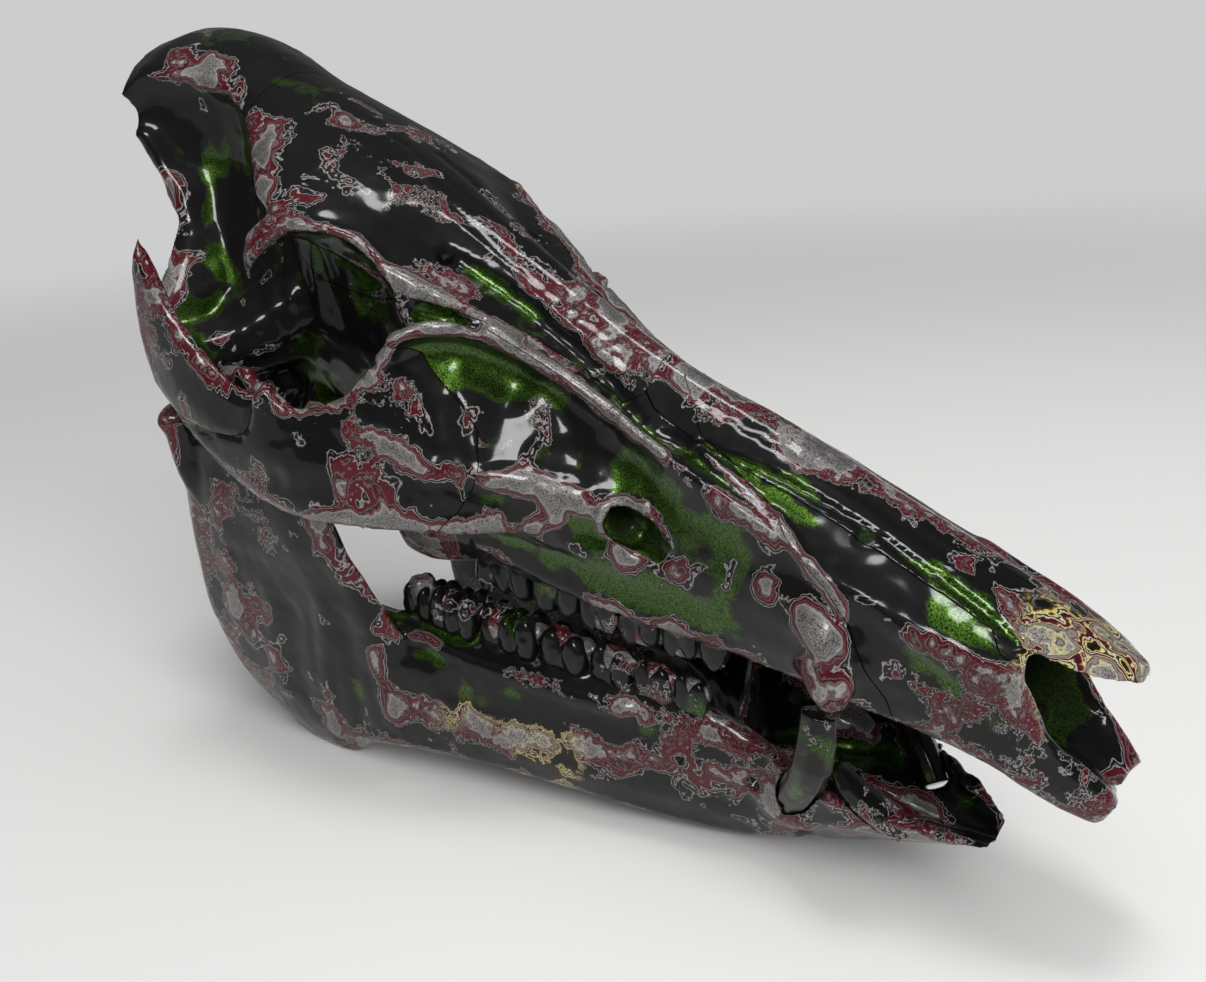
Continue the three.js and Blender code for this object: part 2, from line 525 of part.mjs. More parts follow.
// The nasal bones as a block a little wider and deeper by `room`
function nasalBlock(room) {
  const half = trend([34, 6], [44, 12], [60, 14.5], [86, 15], [135, 15.5], [148, 16.5], [152, 26]);
  const depth = trend([34, 11], [85, 10.5], [112, 9.5], [148, 9.5], [160, 12]);
  return skin(steps(34 - room, 178, 8).map((x) => {
    const [side, low] = [half(x) + room, dorsal(x) - depth(x) - room];
    return [[-side, low], [-side, low + 30], [side, low + 30], [side, low]].map(([y,
      z]) => new THREE.Vector3(x, y, z));
  }));
}

const FRONTAL_EDGE = [[-100, 266], [-97, 222], [-92, 196], [-82, 172], [-70, 162], [-50, 157],
  [-31, 158], [-23, 163],
  [-12, 158.5], [0, 153.5], [10, 147.5], [22, 140], [36, 131], [42, 134], [46, 162]];
const PREMAXILLA_EDGE = [[50, 138], [61, 125], [77, 116], [89, 109.5], [104, 96], [109, 89.5], [114, 78],
  [118.7, 67], [121, 55], [121, 30]];
const PALATE_EDGE = [[-31, 159], [-31, 106], [-47, 101], [-50, 70]];
const CHEEK_FRONT = [[-27, 168], [-21, 152], [-8, 139], [2, 128], [6, 115], [0, 104], [-8, 96], [-10, 84]];
const CHEEK_BACK = [[-121, 131], [-111, 130], [-103, 127], [-92, 124], [-81, 122], [-66, 123],
  [-62, 131], [-61, 152]];

function sutures() {
  const frontal = sideBlock([...FRONTAL_EDGE, [46, 266]], -40, 40);
  const nasal = nasalBlock(GAP).subtract(nasalBlock(0)).subtract(frontal);
  const cheekInside = sideBlock([[-35, 168], ...CHEEK_FRONT.slice(0, -1), [-10, 84],
    [-35, 84]], -38, -38 + GAP);
  const cheek = join(sheet(CHEEK_FRONT, -80, -38 + GAP), cheekInside, sheet(CHEEK_BACK, -80, -57));
  const overlap = GAP / 2;
  const roofline = FRONTAL_EDGE.filter(([x]) => x > -40).map(([x, z]) => [x, z + overlap]);
  const middle = sideBlock([[-49.9, 20], ...PALATE_EDGE.toReversed().map(([x, z]) => [x + 0.1, z - 0.05]),
    ...roofline.slice(1), [190, 162], [190, 20]], -GAP / 2, GAP / 2);
  return join(nasal, sheet(FRONTAL_EDGE, -75, 75), sheet(PREMAXILLA_EDGE, -45, 45), sheet(PALATE_EDGE,
    -37, 37),
    bothSides(cheek), middle);
}

// The one of several pieces that holds a point.
function pieceAt(pieces, point) {
  const probe = ball(point, [1, 1, 1], 8, 6);
  const share = (piece) => piece.intersect(probe).volume();
  return pieces.reduce((a, b) => (share(a) > share(b) ? a : b));
}

// Nodes
const group = new THREE.Group();

function addNode(name, part, colour) {
  const mesh = part.translate([-CENTRE_X, 0, 0]).getMesh();
  const geometry = new THREE.BufferGeometry();
  geometry.setAttribute('position', new THREE.BufferAttribute(mesh.vertProperties, 3));
  geometry.setIndex(new THREE.BufferAttribute(mesh.triVerts, 1));
  geometry.computeVertexNormals();
  const material = new THREE.MeshStandardMaterial({ color: colour, roughness: 0.25, metalness: 0.3 });
  const bone = new THREE.Mesh(geometry, material);
  bone.name = name;
  group.add(bone);
}

const skullPieces = cut(wholeSkull(), sutures()).decompose();
const jawGap = sideBlock([[30, -5], [30, 70], [160, 70], [160, -5]], -GAP / 2, GAP / 2);
const jawPieces = cut(wholeJaw(), bothSides(tusk(GAP)), bothSides(cornerIncisor(GAP)), jawGap).decompose();

addNode('braincase', pieceAt(skullPieces, [-100, 0, 180]), 0x3a3a3c);
addNode('frontal_bone', pieceAt(skullPieces, [-40, 0, 190]), 0x46393c);
for (const [side, y] of [['right', -1], ['left', 1]]) {
  addNode(`nasal_bone_${side}`, pieceAt(skullPieces, [100, 6 * y, 115.5]), 0x44464a);
  addNode(`premaxilla_${side}`, pieceAt(skullPieces, [130, 18.5 * y, 72]), 0x4f5a3a);
  addNode(`maxilla_${side}`, pieceAt(skullPieces, [60, 22 * y, 90]), 0x3b4232);
  addNode(`cheek_bone_${side}`, pieceAt(skullPieces, [-50, 62.5 * y, 110]), 0x403a3a);
  addNode(`jaw_${side}`, pieceAt(jawPieces, [0, 30 * y, 30]), 0x3c3436);
  addNode(`lower_tusk_${side}`, y < 0 ? tusk() : flipped(tusk()), 0x2f2f31);
  addNode(`lower_front_tooth_${side}`, y < 0 ? cornerIncisor() : flipped(cornerIncisor()), 0x2f2f31);
}

export default group;
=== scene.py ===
import math

import bmesh
import bpy
import numpy as np
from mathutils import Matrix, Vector
from mathutils.bvhtree import BVHTree
from mathutils.kdtree import KDTree


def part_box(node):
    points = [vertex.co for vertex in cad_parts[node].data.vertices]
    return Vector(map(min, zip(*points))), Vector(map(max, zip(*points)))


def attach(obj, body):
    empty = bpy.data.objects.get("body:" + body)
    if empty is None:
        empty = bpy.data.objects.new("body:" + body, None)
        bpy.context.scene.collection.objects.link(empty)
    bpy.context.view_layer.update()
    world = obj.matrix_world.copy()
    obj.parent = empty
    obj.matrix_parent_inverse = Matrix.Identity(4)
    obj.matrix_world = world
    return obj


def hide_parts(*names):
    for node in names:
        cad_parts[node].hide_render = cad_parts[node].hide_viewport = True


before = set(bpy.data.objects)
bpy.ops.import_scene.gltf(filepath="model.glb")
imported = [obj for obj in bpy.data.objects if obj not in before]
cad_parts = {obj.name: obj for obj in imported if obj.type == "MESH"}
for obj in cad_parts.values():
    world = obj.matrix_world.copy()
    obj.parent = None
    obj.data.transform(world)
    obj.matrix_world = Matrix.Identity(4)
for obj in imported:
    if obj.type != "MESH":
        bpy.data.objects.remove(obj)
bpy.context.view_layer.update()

# Studio.
# The skull stands on a pale table top that fades into the grey of a pale room. Two wide
# lamps fill the shade, and two small ones shine in the lacquer.
ROOM_GREY, ROOM_LIGHT, ROOM_SHADE = (0.985, 0.985, 1.0), 0.62, 0.10
TABLE_WHITE, TABLE_RADIUS = (0.80, 0.80, 0.79), 30.0
FADE_FROM, FADE_TO = 0.35, 1.6
floor_mesh = bmesh.new()
bmesh.ops.create_circle(floor_mesh, cap_ends=True, segments=96, radius=TABLE_RADIUS)
floor_data = bpy.data.meshes.new("table_top")
floor_mesh.to_mesh(floor_data)
floor_mesh.free()
table_top = bpy.data.objects.new("table_top", floor_data)
bpy.context.scene.collection.objects.link(table_top)

table_paint = bpy.data.materials.new("table_paint")
table_paint.use_nodes = True
table_nodes, table_links = table_paint.node_tree.nodes, table_paint.node_tree.links
table_shader = table_nodes["Principled BSDF"]
table_shader.inputs["Base Color"].default_value = TABLE_WHITE + (1,)
table_shader.inputs["Roughness"].default_value = 0.75
table_shader.inputs["Specular IOR Level"].default_value = 0.2
table_spot = table_nodes.new("ShaderNodeTexCoord")
table_reach = table_nodes.new("ShaderNodeVectorMath")
table_reach.operation = "LENGTH"
table_links.new(table_spot.outputs["Object"], table_reach.inputs[0])
table_fade = table_nodes.new("ShaderNodeMapRange")
table_fade.interpolation_type = "SMOOTHSTEP"
table_fade.inputs["From Min"].default_value = FADE_FROM
table_fade.inputs["From Max"].default_value = FADE_TO
table_links.new(table_reach.outputs["Value"], table_fade.inputs["Value"])
table_glow = table_nodes.new("ShaderNodeEmission")
table_glow.inputs["Color"].default_value = ROOM_GREY + (1,)
table_glow.inputs["Strength"].default_value = ROOM_LIGHT
table_mix = table_nodes.new("ShaderNodeMixShader")
table_links.new(table_fade.outputs["Result"], table_mix.inputs[0])
table_links.new(table_shader.outputs[0], table_mix.inputs[1])
table_links.new(table_glow.outputs[0], table_mix.inputs[2])
table_links.new(table_mix.outputs[0], table_nodes["Material Output"].inputs["Surface"])
table_top.data.materials.append(table_paint)

room = bpy.data.worlds.new("pale_room")
bpy.context.scene.world = room
room.use_nodes = True
room_nodes, room_links = room.node_tree.nodes, room.node_tree.links
room_light = room_nodes["Background"]
room_light.inputs["Color"].default_value = ROOM_GREY + (1,)
seen = room_nodes.new("ShaderNodeLightPath")
strength = room_nodes.new("ShaderNodeMapRange")
strength.inputs["To Min"].default_value = ROOM_SHADE
strength.inputs["To Max"].default_value = ROOM_LIGHT
room_links.new(seen.outputs["Is Camera Ray"], strength.inputs["Value"])
room_links.new(strength.outputs["Result"], room_light.inputs["Strength"])
bpy.context.scene.view_settings.view_transform = "Standard"

# Each lamp: name, place in metres, width, power in watts, whether it shines in
# the lacquer, and whether it lights what it falls on.
LAMPS = [
    ("white_ceiling", (0.45, -0.15, 1.9), 2.4, 21.0, False, True),
    ("side_fill", (1.3, -0.6, 0.95), 1.0, 20.0, False, True),
    ("ceiling_lamp", (0.05, -0.02, 1.45), 0.30, 5.0, True, True),
    ("front_lamp", (0.24, -0.89, 1.04), 0.34, 8.0, True, False),
]
LAMPS_AIM = Vector((0, 0, 0.12))
for name, lamp_place, wide, watts, shines, lights in LAMPS:
    lamp = bpy.data.lights.new(name, "AREA")
    lamp.shape, lamp.size, lamp.energy = "SQUARE", wide, watts
    lamp_object = bpy.data.objects.new(name, lamp)
    lamp_object.location = lamp_place
    lamp_object.visible_glossy, lamp_object.visible_diffuse = shines, lights
    lamp_object.rotation_euler = (LAMPS_AIM - Vector(lamp_place)).to_track_quat("-Z", "Y").to_euler()
    bpy.context.scene.collection.objects.link(lamp_object)

camera_lens = bpy.data.cameras.new("camera")
camera_lens.lens, camera_lens.sensor_width = 33.785, 36.0
camera_lens.sensor_fit = "HORIZONTAL"
camera_lens.clip_start, camera_lens.clip_end = 0.01, 100.0
camera = bpy.data.objects.new("camera", camera_lens)
camera.location = (0.21085, -0.25142, 0.21855)
camera.rotation_euler = [math.radians(a) for a in (69.4522, 4.1471, 37.8382)]
bpy.context.scene.collection.objects.link(camera)
bpy.context.scene.camera = camera

# Cranium before it is parted.
# The bones of a dry pig skull, grown together from crest to nose. It starts as copies of
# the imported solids, merged, and is then carved like clay, the left side as the right.
SHIFT = 11.0
GRAIN = 1.1e-3
SWELL = 0.3e-3


def place(x, y, z):
    """A point in mm, measured from 11 mm behind the skull's middle, as a place in metres."""
    return np.array([x - SHIFT, y, z]) * 1e-3


def clay_from(nodes, grain):
    """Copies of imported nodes, swollen until their gaps close, as one fine even mesh."""
    clay = bmesh.new()
    for node in nodes:
        one = bmesh.new()
        one.from_mesh(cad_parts[node].data)
        bmesh.ops.remove_doubles(one, verts=one.verts, dist=1e-6)
        one.normal_update()
        moves = [(v, v.normal * SWELL * min(v.calc_shell_factor(), 2.0)) for v in one.verts]
        for v, move in moves:
            v.co += move
        data = bpy.data.meshes.new("lump")
        one.to_mesh(data)
        one.free()
        clay.from_mesh(data)
        bpy.data.meshes.remove(data)
    return fine_mesh(clay, grain)


def fine_mesh(clay, grain):
    """Joins whatever overlaps in a bmesh into one closed mesh of small even faces."""
    data = bpy.data.meshes.new("clay")
    clay.to_mesh(data)
    clay.free()
    lump = bpy.data.objects.new("clay", data)
    bpy.context.scene.collection.objects.link(lump)
    remesh = lump.modifiers.new("even", "REMESH")
    remesh.mode = "VOXEL"
    remesh.voxel_size = grain
    graph = bpy.context.evaluated_depsgraph_get()
    fine = bpy.data.meshes.new_from_object(lump.evaluated_get(graph))
    bpy.data.objects.remove(lump)
    bpy.data.meshes.remove(data)
    return fine


def points_of(mesh):
    points = np.empty(len(mesh.vertices) * 3, np.float32)
    mesh.vertices.foreach_get("co", points)
    return points.reshape(-1, 3).astype(float)


def edges_of(mesh):
    edges = np.empty(len(mesh.edges) * 2, np.int32)
    mesh.edges.foreach_get("vertices", edges)
    return edges.reshape(-1, 2)


def normals_of(mesh):
    normals = np.empty(len(mesh.vertices) * 3, np.float32)
    mesh.vertex_normals.foreach_get("vector", normals)
    return normals.reshape(-1, 3).astype(float)


def set_points(mesh, points):
    mesh.vertices.foreach_set("co", points.astype(np.float32).ravel())
    mesh.update()


def averaged(values, edges, rounds, strength=0.5, back=0.0):
    """Values at the vertices, each drawn towards its neighbours' mean; back undoes the shrinking."""
    values = np.array(values, float)
    flat = values.ndim == 1
    if flat:
        values = values[:, None]
    count = len(values)
    a, b = edges[:, 0], edges[:, 1]
    degree = np.maximum(np.bincount(a, minlength=count) + np.bincount(b, minlength=count), 1)[:, None]
    for _ in range(rounds):
        for step in (strength, -back) if back else (strength,):
            total = np.stack([
                np.bincount(a, values[b, k], count) + np.bincount(b, values[a, k], count)
                for k in range(values.shape[1])], axis=1)
            values = values + step * (total / degree - values)
    return values[:, 0] if flat else values


def ease(low, high, values):
    t = np.clip((values - low) / (high - low), 0, 1)
    return t * t * (3 - 2 * t)


def rub_smooth(mesh, light, heavy, low, high):
    """Takes out small facets, and keeps tips, rims and thin plates where rubbing would move them."""
    edges = edges_of(mesh)
    points = averaged(points_of(mesh), edges, light, 0.5)
    rubbed = averaged(points, edges, heavy, 0.6, 0.62)
    moved = np.linalg.norm(averaged(points, edges, heavy // 2, 0.5) - points, axis=1)
    kept = averaged(ease(low, high, moved), edges, 6)[:, None]
    set_points(mesh, rubbed * (1 - kept) + points * kept)


def near_line(points, line):
    """Distance from each point to a line of places."""
    best = np.full(len(points), 1e9)
    for a, b in zip(line[:-1], line[1:]):
        d = b - a
        t = np.clip((points - a) @ d / max(d @ d, 1e-12), 0, 1)
        best = np.minimum(best, np.linalg.norm(points - (a + t[:, None] * d), axis=1))
    return best


def on_surface(points, line):
    """A line of places, filled in every two millimetres and laid on the nearest vertices."""
    filled = [line[0]]
    for a, b in zip(line[:-1], line[1:]):
        count = max(int(np.linalg.norm(b - a) / 2e-3), 1)
        filled += [a + (b - a) * (k + 1) / count for k in range(count)]
    low, high = np.min(filled, 0) - 12e-3, np.max(filled, 0) + 12e-3
    near = points[((points > low) & (points < high)).all(1)]
    if not len(near):
        return filled
    return [near[np.argmin(((near - spot) ** 2).sum(1))] for spot in filled]


def ripple(points, wave, seed):
    """A soft random relief, about -1 to 1, with hills a given distance in mm apart."""
    draw = np.random.default_rng(seed)
    total = np.zeros(len(points))
    for _ in range(14):
        look = draw.normal(size=3)
        look *= 2 * math.pi / (wave * 1e-3 * np.linalg.norm(look))
        total += np.sin(points @ look + draw.uniform(0, 2 * math.pi))
    return total / math.sqrt(14)


def carve(mesh, strokes, both=True):
    """Presses and pulls the clay. Each stroke is (line, half width, lift, facing or None), in mm:
    lift is out from the surface, and a facing keeps the stroke to the surface that looks that way."""
    points, normals = points_of(mesh), normals_of(mesh)
    move = np.zeros(len(points))
    for line, width, lift, facing in strokes:
        for side in ((1, -1) if both and any(abs(p[1]) > 0.01 for p in line) else (1,)):
            path = on_surface(points, [place(p[0], p[1] * side, p[2]) for p in line])
            path.append(path[-1] + 1e-6)
            reach = width * 1e-3
            low, high = np.min(path, 0) - reach, np.max(path, 0) + reach
            near = np.where(((points > low) & (points < high)).all(1))[0]
            if not len(near):
                continue
            away = near_line(points[near], path)
            amount = np.clip(1 - (away / reach) ** 2, 0, 1) ** 2 * lift * 1e-3
            if facing is not None:
                look = np.array([facing[0], facing[1] * side, facing[2]], float)
                amount *= ease(0.0, 0.45, normals[near] @ (look / np.linalg.norm(look)))
            move[near] += amount
    set_points(mesh, points + normals * move[:, None])


CRANIUM_NODES = ["braincase", "frontal_bone"] + [
    f"{bone}_{side}" for side in ("right", "left")
    for bone in ("nasal_bone", "premaxilla", "maxilla", "cheek_bone")]
cranium = clay_from(CRANIUM_NODES, GRAIN)
rub_smooth(cranium, 3, 40, 0.5e-3, 1.5e-3)
set_points(cranium, points_of(cranium) - normals_of(cranium) * SWELL)


def rub_spot(mesh, spot, radius, rounds):
    """Rubs a spot round, on both sides."""
    points, edges = points_of(mesh), edges_of(mesh)
    for side in (1, -1):
        away = np.linalg.norm(points - place(spot[0], spot[1] * side, spot[2]), axis=1)
        amount = ease(0, 0.6, 1 - away / (radius * 1e-3))[:, None]
        points = points * (1 - amount) + averaged(points, edges, rounds, 0.7) * amount
    set_points(mesh, points)


CREST_TIP, TEAR_RIM = (-149, -38, 222), (-24, -48, 146)
rub_spot(cranium, CREST_TIP, 14, 50)
rub_spot(cranium, TEAR_RIM, 9, 20)

OUT, UP = (0, -1, 0), (0, 0, 1)
FACE_RIDGE = [(-18.5, -45.2, 153.3), (-11, -37.5, 154.5), (-4, -31.5, 153.7), (3, -27, 151),
              (11, -25, 146), (20, -22.2, 141.5), (27.5, -21.5, 137.5), (37, -20.8, 132),
              (46.5, -22.5, 127), (55.6, -23.8, 123.3)]
BROW_RIDGE = [(-50.7, -48.8, 183.8), (-38, -43.2, 177), (-31, -40.5, 172), (-23, -36, 168),
              (-12.4, -31.5, 161.6), (-1.6, -27.5, 155.3), (8, -22.3, 150.6)]
BROW_GROOVE = [(-21.5, -17.8, 171), (2, -14.2, 158), (29.5, -14.4, 140), (48, -18, 128), (60.5, -17.3, 124)]
FOSSA = [(-23, -32, 145), (-10, -33, 144), (-2, -29.4, 140.7), (5.4, -25.6, 136.2)]
EYE_RIM = [(-4, -33, 154), (-16.8, -44.3, 152.4), (-22, -47, 147), (-24, -50, 141), (-31, -54.5, 137.5),
           (-40, -58, 133), (-52, -61.5, 131), (-60, -63.5, 139)]
TEAR_HOLLOW = [(-16, -37, 158.5), (-9, -32, 156), (-2, -28.5, 153)]
SNOUT_RIDGE = [(60, -14.5, 123.5), (69, -17, 118.5), (78, -18.5, 114), (88, -20.5, 109),
               (97, -25, 102.5), (104.5, -25.4, 96), (109.5, -25.4, 90)]
NOSE_SEAM = [(61.7, -14.4, 123), (85.3, -13.2, 117.1), (109.4, -12.7, 107.6), (135, -14, 95.7),
             (148, -15.7, 88.4)]
CHEEK_LINE = [(-29, -56.8, 127.2), (-18, -52.4, 123), (-7.6, -48, 115.7), (6, -42.2, 113.1),
              (18.6, -35.4, 112.9), (31, -29.5, 108.6)]
NERVE_RIM = [(37, -30, 98), (37, -29.9, 101), (38.6, -28, 105.6), (43.3, -25, 107.7), (49.7, -24.4, 106.3)]
ARCH_EDGE = [(-107.7, -65, 118.9), (-96.7, -63, 102.8), (-73, -62, 98), (-36, -63, 101.5), (-11, -51.7, 99),
             (10.4, -40.6, 101.2)]
ARCH_SEAM = [(-105.9, -64, 121), (-92, -66, 124), (-81.7, -68, 122), (-68, -67, 123), (-63, -66, 128),
             (-62, -65, 137)]
GUM_RIDGE = [(-8, -32, 86.3), (14, -30.3, 80.7), (33.8, -27.8, 75.5), (53.3, -25.7, 73), (72, -24.4, 72.2)]
TUSK_SWELL = [(89, -26, 91.8), (98.2, -27.6, 89), (104.8, -29.9, 83.6)]
TEMPLE_LINE = [(-112.7, -15.7, 228.7), (-100.3, -19.5, 219.8), (-83.8, -26.4, 209.2), (-76.5, -36.7, 199.8)]
ROOF_LINE = [(-48, -9, 196), (-20, -9, 180), (10, -8, 160), (40, -7.5, 142), (62, -7, 132), (86, -6.5, 122),
             (108, -6.5, 112), (130, -7.5, 101), (150, -7, 92)]
MUZZLE_HOLLOW = [(20, -30, 118), (34, -25, 118), (48, -20, 116)]
ARCH_HOLLOW = [(-100, -66, 112), (-80, -67, 108), (-55, -66, 110)]
MOLAR_HOLLOW = [(0, -33, 93), (20, -31, 88), (45, -28, 82), (66, -26, 80)]
TUSK_HOLLOW = [(113, -25, 88), (124, -23.5, 82), (135, -21, 72)]
NOSE_RIM = [(140, -21, 78), (150, -19, 70), (160, -16, 62)]
FOREHEAD_SEAM = [(-70, 0, 209.5), (-20, 0, 180), (40, 0, 144)]
TEMPLE_HOLLOW = [(-133, -36, 222), (-120, -26, 205), (-112, -24, 185), (-100, -30, 165)]
CASE_RIDGES = [
    [(-95, -30, 170), (-88, -33, 155), (-84, -26, 138), (-86, -20, 124)],
    [(-101, -33, 168), (-95, -36, 152), (-90, -28, 136), (-90, -21, 122)],
    [(-90, -28, 176), (-82, -31, 160), (-78, -24, 141), (-80, -20, 126)]]
BROW_HOLE, TEAR_HOLE = [(-19.6, -19.3, 170.3)], [(-25, -52, 147)]
NERVE_HOLE = [(37, -30, 99), (30, -30, 99)]
carve(cranium, [
    (FACE_RIDGE, 3.4, 1.0, None),
    (BROW_RIDGE, 4.0, 0.9, None),
    (EYE_RIM, 2.8, 1.0, None),
    (BROW_GROOVE, 4.0, -1.5, UP),
    (TEAR_HOLLOW, 4.5, -2.2, None),
    (FOSSA, 11.0, -2.4, (0, -1, -0.2)),
    (SNOUT_RIDGE, 2.8, 0.9, None),
    (NOSE_SEAM, 2.0, -1.1, None),
    (CHEEK_LINE, 5.5, 1.0, None),
    (MUZZLE_HOLLOW, 8.0, -1.2, None),
    (NERVE_RIM, 2.4, 0.9, None),
    (ARCH_EDGE, 3.0, 0.5, None),
    (ARCH_HOLLOW, 7.0, -0.9, OUT),
    (ARCH_SEAM, 1.8, -0.7, OUT),
    (GUM_RIDGE, 3.5, 0.8, OUT),
    (MOLAR_HOLLOW, 6.0, -1.1, OUT),
    (TUSK_SWELL, 9.0, 1.2, OUT),
    (TUSK_HOLLOW, 6.0, -0.8, OUT),
    (NOSE_RIM, 3.0, 0.5, None),
    (ROOF_LINE, 3.0, -0.5, UP),
    (FOREHEAD_SEAM, 2.0, -0.25, UP),
    (BROW_HOLE, 3.2, -4.0, UP),
    (TEAR_HOLE, 2.0, -2.0, None),
    (TEMPLE_HOLLOW, 14.0, -1.0, OUT),
    (CASE_RIDGES[0], 4.0, 0.3, None),
    (CASE_RIDGES[1], 4.0, 0.3, None),
    (CASE_RIDGES[2], 4.0, 0.3, None),
    (NERVE_HOLE, 7.0, -2.0, OUT),
])


def openness_of(mesh, reach=0.07):
    """How much open air each spot looks out on, from 0 deep in a socket to 1 on bare bone."""
    points, normals = points_of(mesh), normals_of(mesh)
    solid = bmesh.new()
    solid.from_mesh(mesh)
    tree = BVHTree.FromBMesh(solid)
    solid.free()
    draw = np.random.default_rng(5)
    looks = draw.normal(size=(18, 3))
    looks /= np.linalg.norm(looks, axis=1, keepdims=True)
    chosen = draw.choice(len(points), min(9000, len(points)), replace=False)
    share = np.zeros(len(chosen))
    for k, i in enumerate(chosen):
        normal = normals[i]
        start = Vector(points[i] + normal * 0.7e-3)
        toward = looks * np.where(looks @ normal < 0, -1, 1)[:, None] + normal * 0.3
        share[k] = sum(tree.ray_cast(start, Vector(look), reach)[0] is None for look in toward) / len(looks)
    near = KDTree(len(chosen))
    for k, i in enumerate(chosen):
        near.insert(points[i], k)
    near.balance()
    spread = np.array([share[near.find(point)[1]] for point in points])
    return averaged(spread, edges_of(mesh), 14)


def finish_clay(mesh, open_air):
    """Rounds off the depths of the hollows, and gives all of the bone its slightly uneven skin."""
    points, edges = points_of(mesh), edges_of(mesh)
    inside = (1 - ease(0.30, 0.55, open_air))[:, None]
    points = points * (1 - inside) + averaged(points, edges, 70, 0.8) * inside
    set_points(mesh, points)
    relief = 0.11e-3 * ripple(points, 14, 3) + 0.035e-3 * ripple(points, 5, 4)
    set_points(mesh, points + normals_of(mesh) * relief[:, None])


cranium_air = openness_of(cranium)
finish_clay(cranium, cranium_air)


def wear_and_shade_of(mesh, open_air=None, sanded=()):
    """How far each spot stands out (+) or lies in a hollow (-), which decides how deep the paint is
    sanded. Given open air, spots that look out on little of it are pushed far down as well, which is
    painted shade: black paint in the deep hollows and sockets. Each sanded line is (line in mm, half
    width in mm, extra wear)."""
    points, normals, edges = points_of(mesh), normals_of(mesh), edges_of(mesh)
    near = averaged(points, edges, 50, 0.6)
    far = averaged(near, edges, 260, 0.9)
    small = ((points - near) * normals).sum(1) / 0.45e-3
    large = ((points - far) * normals).sum(1) / 4.0e-3
    wear_and_shade = averaged(np.clip(small, -1.5, 1.5) * 0.6 + np.clip(large, -1.5, 0.9) * 0.7, edges, 3)
    # Painted shade: spots that look out on little open air are pushed far down, so the deep hollows and
    # sockets come out black, with little green flake and thin lacquer.
    if open_air is not None:
        wear_and_shade -= 2.2 * (1 - ease(0.25, 0.60, open_air))
    for line, width, amount in sanded:
        for side in (1, -1):
            path = on_surface(points, [place(p[0], p[1] * side, p[2]) for p in line])
            wear_and_shade += amount * np.exp(-(near_line(points, path) / (width * 1e-3)) ** 2)
    return wear_and_shade


def give_wear_and_shade(mesh, points, wear_and_shade):
    """Hands the wear and painted shade measured on one mesh to the nearest vertices of another."""
    tree = KDTree(len(points))
    for i, point in enumerate(points):
        tree.insert(point, i)
    tree.balance()
    values = [wear_and_shade[tree.find(v.co)[1]] for v in mesh.vertices]
    mesh.attributes.new("wear_and_shade", "FLOAT", "POINT").data.foreach_set("value", np.array(values, np.float32))


cranium_points = points_of(cranium)
CREST_BACK = [(-146, -20, 238), (-149, -34, 230), (-143, -37, 216), (-140, -36, 206)]
CREST_TOP = [(-120, -4, 236), (-90, -6, 220)]
CHEEK_HOLLOW = [(6, -30, 128), (22, -26, 126)]
TUSK_ROOT = [(86, -24, 96), (70, -25, 96)]
GUM_HOLLOW = [(45, -29, 84), (60, -27, 86)]
SNOUT_SIDE = [(85, -15.5, 112), (110, -16.5, 101), (135, -18, 89), (148, -18, 82)]
NOSE_SIDE = [(75, -11, 122), (109, -11, 110), (140, -12, 96)]
NERVE_FRONT = [(50, -25, 99), (58, -25, 94), (64, -25, 88)]
NERVE_BACK = [(4, -33, 98), (20, -31, 95)]
LIP_SIDE = [(112, -24, 84), (124, -22, 76), (136, -19, 68)]
# The cranium's measure also takes its open air, which paints shade into its orbits, sockets and other deep
# hollows.
cranium_wear_and_shade = wear_and_shade_of(cranium, cranium_air, [
    (FACE_RIDGE, 2.0, 1.6), (BROW_RIDGE, 2.6, 1.2), (EYE_RIM, 2.0, 0.9), (SNOUT_RIDGE, 1.8, 1.7),
    (NERVE_RIM, 1.8, 1.5), (ARCH_EDGE, 2.0, 0.8), (TUSK_SWELL, 4.5, 1.0), (CHEEK_LINE, 3.5, 0.7),
    (ROOF_LINE, 2.0, 0.9), (TEMPLE_LINE, 2.5, 0.6), (GUM_RIDGE, 1.8, 0.5), (NOSE_SEAM, 2.4, -0.9),
    (CREST_BACK, 9.0, -1.6), (CREST_TOP, 14.0, -0.9), (CHEEK_HOLLOW, 9.0, 0.5), (TUSK_ROOT, 6.0, 0.5),
    (GUM_HOLLOW, 6.0, -0.5), (SNOUT_SIDE, 4.0, -1.5), (NOSE_SIDE, 2.6, -1.1), (NERVE_FRONT, 4.5, 1.0),
    (NERVE_BACK, 4.0, 0.8), (LIP_SIDE, 4.5, 0.7)])

# Bones of the cranium.
# The plates of bone of one skull, parted where they really meet, along narrow gaps that thin
# saws cut. All are painted in many coats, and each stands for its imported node.
SAW = 0.3


def saw_block(outline, y_from, y_to):
    """A block with a side-view outline of (x, z) in mm, from one y to another."""
    block = bmesh.new()
    corners = [block.verts.new(place(x, y_from, z)) for x, z in outline]
    face = block.faces.new(corners)
    bmesh.ops.recalc_face_normals(block, faces=[face])
    grown = bmesh.ops.extrude_face_region(block, geom=[face])
    moved = [v for v in grown["geom"] if isinstance(v, bmesh.types.BMVert)]
    bmesh.ops.translate(block, verts=moved, vec=(0, (y_to - y_from) * 1e-3, 0))
    bmesh.ops.recalc_face_normals(block, faces=block.faces)
    return block


